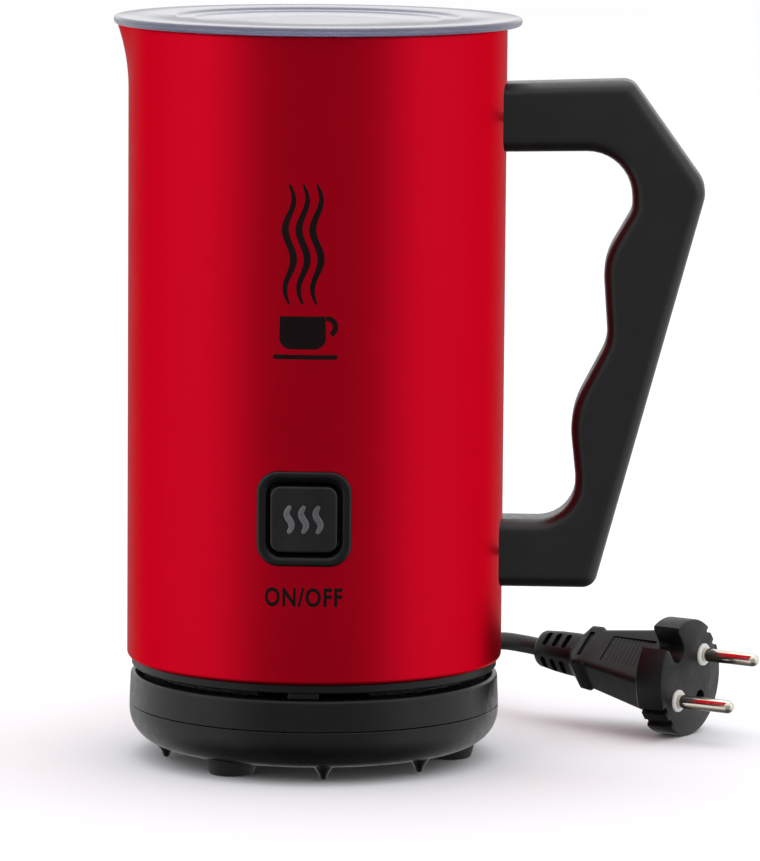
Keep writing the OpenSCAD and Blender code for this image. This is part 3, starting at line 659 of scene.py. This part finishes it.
def make_base_covers():
    top = [(54.05, 15.92), (BASE_R, 16.1), (54.2, 18), (53.95, 23.8)]
    top += arc((52.55, 23.8), 1.4, 0, 90, 8)[1:] + [(48.6, BASE_TOP)]
    top += arc((48.4, 24.4), 0.8, 90, 180, 5) + [(47.6, 23.0), (47.2, 22.6), (13.9, 22.6)]
    top += [(13.6, 22.3), (13.6, 20.4), (51.4, 20.4), (52.05, 19.8), (52.05, 15.92)]
    c = (BASE_R - 10, BASE_LOW + 10)
    low = [(0, BASE_LOW), (30, BASE_LOW)] + arc(c, 10, -90, 0, 20)
    low += [(BASE_R, 15.55), (54.05, 15.76), (52.05, 15.76)] + arc(c, 7.8, 0, -90, 8)
    low += [(0, 6.4)]
    bm = bmesh.new()
    lathe_into(bm, low, 192)
    peg = [(0, 0.5), (0.55, 0.58), (0.95, 0.85), (1.15, 1.4), (1.5, 2.3), (2.2, 3.4),
           (3.0, 4.4), (3.0, 5.4), (0, 5.4)]
    for i in range(3):
        for k in (1, 2):
            turn = Matrix.Rotation(math.radians(FOOT_TURN + 120 * i + 40 * k), 4, "Z")
            lathe_into(bm, peg, 28, place=turn @ Matrix.Translation((PEG_RING, 0, 0)))
    done(lathe("base_cover_top", top, 192), MATS["base_plastic"], "base", "base_plastic",
         "base_top_cover")
    done(to_object("base_cover_low", bm), MATS["base_plastic"], "base", "base_plastic",
         "base_bottom_cover")


def make_feet():
    sole = [(0, 0.3), (3.6, 0.3), (3.9, 0.1), (4.2, 0), (5.9, 0), (6.4, 0.2), (6.7, 0.7),
            (7.45, 3.4), (7.45, 4.9), (0, 4.9)]
    bm = bmesh.new()
    for i in range(3):
        turn = Matrix.Rotation(math.radians(FOOT_TURN + 120 * i), 4, "Z")
        lathe_into(bm, sole, 48, place=turn @ Matrix.Translation((FOOT_RING, 0, 0)))
    done(to_object("base_feet", bm), MATS["foot_rubber"], "base", "foot_rubber", "rubber_feet")


def make_post():
    profile = [(11, 14), (11, 18.2), (19, 18.2), (19, 20.4), (13, 20.4), (13, 31.3),
               (12.6, 32.0), (11.9, 32.4), (9.4, 32.4), (9.0, 32.0), (9.0, 26), (6.8, 26),
               (6.8, 32.0), (6.4, 32.4), (4.1, 32.4), (3.4, 31.7), (3.4, 24), (1.56, 24),
               (1.56, 14)]
    done(lathe("base_post", profile, 96), MATS["dark_plastic"], "base", "dark_plastic",
         "base_connector")


# ---------------------------------------------------------------- jug

def lip(a, width):
    """How strongly the spout shows at an angle: 1 on its middle line, 0 away from it."""
    off = math.degrees(abs(a - math.pi))
    return math.exp(-(off / width) ** 2)


def spout_rise(z):
    """How far the spout stands out at a height."""
    return SPOUT_OUT * clamp((z - SPOUT_LOW) / 18.5) ** 1.9


def shell_bulge(a, r, z):
    return r + spout_rise(z) * lip(a, 11)


def front_block(w, h, r, y0, y1):
    """A round-cornered block round the button's centre, from y0 to y1."""
    bm = bmesh.new()
    loops = [[(x, y, BUTTON_Z + z) for x, z in round_rect(w, h, r)] for y in (y0, y1)]
    loft_into(bm, loops)
    return to_object("cut", bm)


def make_shell():
    rows = [31.0, 60, 100, 150, 190] + [SPOUT_LOW + 1.5 * k for k in range(12)] + [213.6]
    profile = [(53.2, SHELL_LOW)] + arc((53.4, 31.0), 1.6, -90, 0, 8)[:-1]
    profile += [(BODY_R, z) for z in rows] + [(54.98, 214.4), (54.85, SHELL_TOP)]
    profile += [(54.55, SHELL_TOP), (SHELL_IN, 214.4)]
    profile += [(SHELL_IN, z) for z in reversed(rows)] + arc((53.4, 31.0), 1.0, 0, -90, 6)[1:]
    profile += [(53.2, 30.0)]
    shell = lathe("jug_shell", profile, 256, shell_bulge, 40)
    carve(shell, front_block(24.2, 24.3, 5, -70, -40))
    done(shell, MATS["red_paint"], "jug", "red_paint", "outer_shell")


def pot_bulge(a, r, z):
    """Pushes the pot's wall and rim out into the pouring channel."""
    inner = 9.4 * smooth((z - CHANNEL_LOW) / 16) * lip(a, 10)
    outer = spout_rise(z) * lip(a, 11)
    share = clamp((r - ROLL_IN) / (ROLL_OUT - ROLL_IN))
    return r + (inner * (1 - share) + outer * share if z > CHANNEL_LOW else 0)


def make_pot():
    c = (POT_R - 5, POT_FLOOR + 5)
    rows = [CHANNEL_LOW + 1.5 * k for k in range(9)]
    profile = [(0, 112), (20, 112)] + arc(c, 6.2, -90, 0, 10) + [(POT_OUT, 160)]
    profile += [(POT_OUT, z) for z in rows] + [(POT_OUT, 213.0), (48.0, 213.7), (51, 213.7)]
    profile += [(54.1, 213.7), (ROLL_OUT, 213.95), (ROLL_OUT, 214.65), (54.1, RIM_Z)]
    profile += [(51, RIM_Z)] + arc((ROLL_IN, RIM_Z - 2.2), 2.2, 90, 180, 6)
    profile += [(POT_R, z) for z in reversed(rows)]
    for mark in (190, 160):
        profile += [(POT_R, mark + 0.5), (POT_R - 0.3, mark + 0.3), (POT_R - 0.3, mark - 0.3),
                    (POT_R, mark - 0.5)]
    profile += arc(c, 5, 0, -90, 10) + [(20, POT_FLOOR), (0, POT_FLOOR)]
    done(lathe("milk_pot", profile, 256, pot_bulge, 45), MATS["non_stick"], "jug", "non_stick",
         "inner_pot")


def make_collar():
    profile = [(50.1, 27), (53.2, 27), (53.6, 27.4), (53.6, 29.35), (53.1, 29.35), (53.1, 30.1),
               (53.6, 30.1), (53.6, 33), (46.4, 33), (46.4, 30.4), (50.1, 30.4)]
    bm = bmesh.new()
    lathe_into(bm, profile, 192)
    for k in range(4):
        turn = Matrix.Rotation(math.radians(90 * k), 4, "Z")
        loops = [[(x, y, z) for x, y in round_rect(2.1 - 2 * d, 9 - 2 * d, 0.5, 3)]
                 for z, d in ((BASE_TOP, 0.3), (25.5, 0), (28.0, 0))]
        loft_into(bm, loops, place=turn @ Matrix.Translation((51.45, 0, 0)))
    for k in range(3):
        turn = Matrix.Rotation(math.radians(60 + 120 * k), 4, "Z")
        lathe_into(bm, [(1.25, 30.6), (3.6, 30.6), (3.6, 36.6), (3.2, 37), (1.25, 37)], 24,
                   place=turn @ Matrix.Translation((44.6, 0, 0)))
    done(to_object("foot_collar", bm), MATS["dark_plastic"], "jug", "dark_plastic", "jug_collar")


HANDLE_ROOT = 54.97
HANDLE_CORNERS = [(54.9, 198.7, 0), (91.3, 200, 5), (113.6, 169.1, 9), (82, 51.5, 4.5),
                  (54.9, 51.5, 0), (54.9, 71.5, 0), (76, 71.5, 11), (76.2, 84.8, 9),
                  (74.2, 103, 25), (85.2, 124.3, 14), (83.5, 148, 20), (91.8, 162.5, 6),
                  (91.5, 179.5, 13), (54.9, 178.8, 0)]


def rounded(corners, steps):
    """An outline whose corners (x, z, radius) are rounded in so many steps each."""
    out = []
    n = len(corners)
    for i, (x, z, r) in enumerate(corners):
        b = Vector((x, z))
        if r == 0:
            out.append(tuple(b))
            continue
        u = (Vector(corners[i - 1][:2]) - b).normalized()
        v = (Vector(corners[(i + 1) % n][:2]) - b).normalized()
        half = math.acos(clamp((u.dot(v) + 1) / 2) * 2 - 1) / 2
        centre = b + (u + v).normalized() * r / math.sin(half)
        turn = 1 if u.x * v.y - u.y * v.x > 0 else -1
        mid = math.atan2(b.y - centre.y, b.x - centre.x)
        span = math.pi / 2 - half
        for k in range(steps + 1):
            a = mid + turn * span * (1 - 2 * k / steps)
            out.append((centre.x + r * math.cos(a), centre.y + r * math.sin(a)))
    return out


def filled(points, gap):
    """Adds points so that no side is longer than gap."""
    out = []
    for a, b in zip(points, points[1:] + points[:1]):
        a, b = Vector(a), Vector(b)
        steps = max(1, math.ceil((b - a).length / gap))
        out += [tuple(a.lerp(b, k / steps)) for k in range(steps)]
    return out


def make_handle():
    outline = anticlockwise(filled(rounded(HANDLE_CORNERS, 10), 3.0))
    half, edge = 9.0, 4.1
    stations = []
    for k in range(9):
        a = math.radians(90 - 90 * k / 8)
        stations.append((-(half - edge) - edge * math.sin(a), edge * (1 - math.cos(a))))
    stations += [(-y, d) for y, d in reversed(stations)]
    loops = []
    for y, d in stations:
        root = math.sqrt(HANDLE_ROOT ** 2 - y * y)
        loops.append([(root if base[0] <= HANDLE_ROOT else x, y, z)
                      for base, (x, z) in zip(outline, inset(outline, d))])
    bm = bmesh.new()
    loft_into(bm, loops)
    handle = to_object("grip_handle", bm, 50)
    handle.visible_glossy = False
    done(handle, MATS["handle_plastic"], "jug", "handle_plastic", "handle")


# ---------------------------------------------------------------- button, print

def on_front(loop, height):
    """Lays a sketch loop on a cylinder that stands height out of the body, facing -Y."""
    return [(x, -math.sqrt((BODY_R + height) ** 2 - x * x), BUTTON_Z + z) for x, z in loop]


def make_bezel():
    loops = []
    for w, r, height in ((27.2, 6.3, -0.25), (27.2, 6.3, 0.55), (26.9, 6.2, 0.95),
                         (26.2, 5.9, 1.22), (25.3, 5.6, 1.3), (24.2, 5.1, 1.22), (22.6, 4.5, 0.85),
                         (21.2, 3.9, 0.35), (20.4, 3.6, -0.15), (20.1, 3.45, -0.9)):
        loops.append(on_front(round_rect(w, w + 0.1, r, 10), height))
    for w, r, y in ((20.1, 3.45, -46.6), (23.6, 4.7, -46.6)):
        loops.append([(x, y, BUTTON_Z + z) for x, z in round_rect(w, w + 0.1, r, 10)])
    loops.append(on_front(round_rect(23.6, 23.7, 4.7, 10), -0.25))
    bm = bmesh.new()
    loft_into(bm, loops, ring=True)
    done(to_object("button_surround", bm, 40), MATS["gloss_surround"], "jug", "gloss_surround",
         "button_bezel")


def make_key():
    loops = [[(x, -50.5, BUTTON_Z + z) for x, z in round_rect(19.2, 19.0, 3, 10)]]
    for cut, height in ((0, 1.15), (0.12, 1.45), (0.4, 1.72), (0.85, 1.87), (1.5, 1.9),
                        (2.6, 1.84), (5, 1.68), (9, 1.54), (14, 1.47), (17.6, 1.45)):
        w = 19.2 - cut
        loops.append(on_front(round_rect(w, w - 0.2, max(3 - cut * 0.3, 0.4), 10), height))
    bm = bmesh.new()
    loft_into(bm, loops)
    done(to_object("push_key", bm, 40), MATS["key_plastic"], "button", "key_plastic",
         "button_key")


def make_icon():
    bm = bmesh.new()
    for x0 in (-4.1, 0, 4.1):
        path = []
        for k in range(25):
            t = k / 24
            x = x0 - 0.72 * math.sin(TAU * t)
            path.append((x, -math.sqrt((BODY_R + 1.5) ** 2 - x * x), BUTTON_Z + 3.45 - 6.9 * t))
        tube_into(bm, path, lambda t: 0.66 + 0.34 * math.sin(math.pi * t), 14, 0.45,
                  Vector((0, -1, 0)))
    done(to_object("steam_mark", bm, 50), MATS["icon_clear"], "button", "icon_clear",
         "steam_icon")


def words_sketch():
    """The generic words ON/OFF, centred on the origin."""
    font = bpy.data.curves.new("words", "FONT")
    font.body = "ON/OFF"
    font.align_x = "CENTER"
    font.space_character = 1.16
    font.offset = 0.030
    font.resolution_u = 6
    flat = bpy.data.objects.new("words_flat", font)
    bpy.context.scene.collection.objects.link(flat)
    bpy.context.view_layer.update()
    mesh = bpy.data.meshes.new_from_object(flat)
    bm = bmesh.new()
    bm.from_mesh(mesh)
    bpy.data.objects.remove(flat)
    bpy.data.meshes.remove(mesh)
    bmesh.ops.remove_doubles(bm, verts=bm.verts, dist=1e-5)
    xs = [v.co.x for v in bm.verts]
    ys = [v.co.y for v in bm.verts]
    width, height = 22.3, 5.5
    for v in bm.verts:
        v.co.x = (v.co.x - (min(xs) + max(xs)) / 2) * width / (max(xs) - min(xs))
        v.co.y = (v.co.y - (min(ys) + max(ys)) / 2) * height / (max(ys) - min(ys))
    return bm


def thicken(bm):
    """Gives a flat sketch at z = 0 a thickness of 1."""
    faces = bm.faces[:]
    new = bmesh.ops.extrude_face_region(bm, geom=faces)["geom"]
    for v in new:
        if isinstance(v, bmesh.types.BMVert):
            v.co.z = 1.0


def face_of(bm, points):
    bm.faces.new([bm.verts.new((x, y, 0)) for x, y in points])


def emblem_sketch():
    """A plain cup with steam, its foot near the origin."""
    bm = bmesh.new()
    cup = [(-7.2, 9.6)] + arc((-4.0, 3.6), 3.4, 190, 270, 8) + arc((2.6, 3.6), 3.4, 270, 350, 8)
    cup += [(5.8, 9.6)]
    face_of(bm, cup)
    face_of(bm, arc((6.3, 6.6), 3.1, -62, 96, 14) + arc((6.1, 6.6), 1.75, 96, -62, 14))
    face_of(bm, [(x, y - 2.0) for x, y in round_rect(18.4, 1.3, 0.6, 4)])
    steam_foot, steam_height = 13, 34
    for x0 in (-4.6, -0.7, 3.2):
        left, right = [], []
        for k in range(41):
            t = k / 40
            x = x0 - 1.2 * math.sin(2 * TAU * t)
            half = 0.30 + 0.75 * math.sin(math.pi * t) ** 0.7
            y = steam_foot + steam_height * t
            left.append((x - half, y))
            right.append((x + half, y))
        face_of(bm, left[::-1] + right)
    return bm


def make_print():
    whole = bmesh.new()
    for bm, z in ((words_sketch(), WORDS_Z), (emblem_sketch(), EMBLEM_Z)):
        thicken(bm)
        bmesh.ops.triangulate(bm, faces=bm.faces[:])
        wrap(bm, BODY_R - 0.05, BODY_R + 0.05, z)
        mesh = bpy.data.meshes.new("part")
        bm.to_mesh(mesh)
        bm.free()
        whole.from_mesh(mesh)
        bpy.data.meshes.remove(mesh)
    done(to_object("shell_print", whole, 30), MATS["print_ink"], "jug", "key_plastic")


# ---------------------------------------------------------------- lid, whisk

def make_lid():
    low, top = RIM_Z, RIM_Z + 2.4
    profile = [(0, low), (42.2, low), (42.6, low - 0.4), (42.6, 208.8), (42.9, 208.5),
               (43.9, 208.5), (44.2, 208.8), (44.2, 210.0), (43.4, 210.0), (43.4, 212.0),
               (44.2, 212.0), (44.2, low)]
    profile += arc((58.2, low + 1.1), 1.1, -90, 0, 6) + arc((58.2, top - 1.1), 1.1, 0, 90, 6)
    profile += [(52, top), (42.4, top), (41.6, top - 0.1), (40.9, top - 0.5), (40.3, top - 0.62),
                (36.9, top - 0.62), (36.3, top - 0.7), (35.6, top - 0.98), (34.8, top - 1.05),
                (20, top - 1.05), (0, top - 1.05)]
    done(lathe("clear_lid", profile, 256, sharp=50), MATS["smoky_clear"], "lid", "smoky_clear",
         "lid_cover")
    low = RIM_Z - 4.9
    seal = [(43.42, low + 0.05), (44.3, low), (45.5, low + 0.6), (45.75, low + 0.95),
            (45.5, low + 1.3), (44.3, low + 1.95), (43.42, low + 1.95)]
    done(lathe("lid_gasket", seal, 160), MATS["seal_silicone"], "lid", "seal_silicone",
         "lid_seal")


def make_whisk():
    z0 = POT_FLOOR + 1.9
    hub = [(1.58, z0), (12.7, z0), (13, z0 + 0.3), (13, z0 + 4.1), (12.6, z0 + 4.5),
           (6.4, z0 + 4.5), (5.3, z0 + 5.1), (3.8, z0 + 7.4), (3.4, z0 + 8.6), (3.4, z0 + 13.6)]
    hub += arc((0, z0 + 17.5), 4.4, -39.4, 90, 12) + [(0, z0 + 9.7), (1.58, z0 + 9.5)]
    done(lathe("whisk_knob", hub, 96), MATS["dark_plastic"], "whisk", "dark_plastic",
         "whisk_hub")
    turns, per_turn, ring_r, small_r = 56, 12, 15.6, 1.8
    path = []
    for k in range(turns * per_turn + 1):
        a = TAU * k / (turns * per_turn)
        b = TAU * k / per_turn
        r = ring_r + small_r * math.cos(b)
        path.append((r * math.cos(a), r * math.sin(a), z0 + 2.2 + small_r * math.sin(b)))
    bm = bmesh.new()
    tube_into(bm, path, 0.36, 6, up=Vector((0.02, 0.01, 1)))
    done(to_object("whisk_spring", bm, 60), MATS["whisk_steel"], "whisk", "whisk_steel",
         "whisk_coil")


make_base_covers()
make_feet()
make_post()
make_shell()
make_pot()
make_collar()
make_handle()
make_bezel()
make_key()
make_icon()
make_print()
make_lid()
make_whisk()


# ---------------------------------------------------------------- floor, light

def make_floor():
    bm = bmesh.new()
    bmesh.ops.create_grid(bm, x_segments=2, y_segments=2, size=12000)
    floor = to_object("floor", bm)
    n = Nodes("floor_paper").set(spec=0.0)
    n.into("Base Color", n.mix(n.spread(n.noise(900, 2), 0, 1), (0.870, 0.870, 0.898),
                               (0.880, 0.880, 0.908)))
    n.into("Roughness", n.spread(n.noise(40, 3), 0.9, 1.0))
    floor.data.materials.append(n.mat)
    floor.visible_glossy = False


def area_light(name, place, aim, size, power):
    data = bpy.data.lights.new(name, "AREA")
    data.shape = "RECTANGLE"
    data.size, data.size_y = size
    data.energy = power
    light = bpy.data.objects.new(name, data)
    light.location = place
    light.rotation_euler = (Vector(aim) - Vector(place)).to_track_quat("-Z", "Y").to_euler()
    bpy.context.scene.collection.objects.link(light)


def make_world():
    """White studio walls and ceiling, darker to the front, to the back and straight down."""
    world = bpy.data.worlds.new("studio")
    bpy.context.scene.world = world
    world.use_nodes = True
    tree = world.node_tree
    back = tree.nodes["Background"]
    way = tree.nodes.new("ShaderNodeTexCoord").outputs["Generated"]

    def math_node(kind, a, b=None):
        m = tree.nodes.new("ShaderNodeMath")
        m.operation = kind
        for i, v in enumerate((a, b)):
            if v is None:
                continue
            if isinstance(v, (int, float)):
                m.inputs[i].default_value = v
            else:
                tree.links.new(v, m.inputs[i])
        return m.outputs[0]

    def map_range(v, a0, a1, b0, b1):
        m = tree.nodes.new("ShaderNodeMapRange")
        m.interpolation_type = "SMOOTHSTEP"
        for name, x in zip(("From Min", "From Max", "To Min", "To Max"), (a0, a1, b0, b1)):
            m.inputs[name].default_value = x
        tree.links.new(v, m.inputs["Value"])
        return m.outputs["Result"]

    split = tree.nodes.new("ShaderNodeSeparateXYZ")
    tree.links.new(way, split.inputs[0])
    x, y, z = split.outputs
    level = math_node("SUBTRACT", 1.0, math_node("MULTIPLY", z, z))
    level = math_node("SQRT", math_node("MAXIMUM", level, 1e-4))
    to_camera = (0.0576, -0.9983)
    ahead = math_node("ADD", math_node("MULTIPLY", x, to_camera[0]),
                      math_node("MULTIPLY", y, to_camera[1]))
    ahead = math_node("DIVIDE", ahead, level)
    side = map_range(ahead, 0.45, 0.92, 1.0, 0.38)
    behind = map_range(ahead, -0.97, -0.80, 0.60, 1.0)
    behind = math_node("MAXIMUM", behind, map_range(z, 0.0, 0.08, 0.0, 1.15))
    walls = math_node("MULTIPLY", side, behind)
    above = map_range(z, 0.35, 0.75, 0.0, 1.0)
    ceiling = math_node("MULTIPLY", above, 1.2)
    walls = math_node("MULTIPLY", walls, math_node("SUBTRACT", 1.0, above))
    walls = math_node("ADD", walls, ceiling)
    below = map_range(z, -0.90, -0.35, 0.12, 1.0)
    level_light = math_node("MULTIPLY", walls, below)
    path = tree.nodes.new("ShaderNodeLightPath").outputs["Is Camera Ray"]
    shown = math_node("MAXIMUM", level_light, path)
    tree.links.new(shown, back.inputs["Strength"])
    back.inputs["Color"].default_value = (1, 1, 1, 1)


def make_lights():
    area_light("overhead", (0.1, 0.25, 1.5), (0, 0.05, 0), (1.3, 1.3), 5.5)
    area_light("left_box", (-1.5, -0.5, 0.7), (0, 0, 0.12), (0.8, 1.1), 0.8)
    area_light("right_box", (1.5, -0.6, 0.8), (0, 0, 0.12), (0.7, 1.1), 0.8)


make_floor()
make_world()
make_lights()
bpy.context.scene.view_settings.view_transform = "Standard"
bpy.context.scene.view_settings.look = "None"
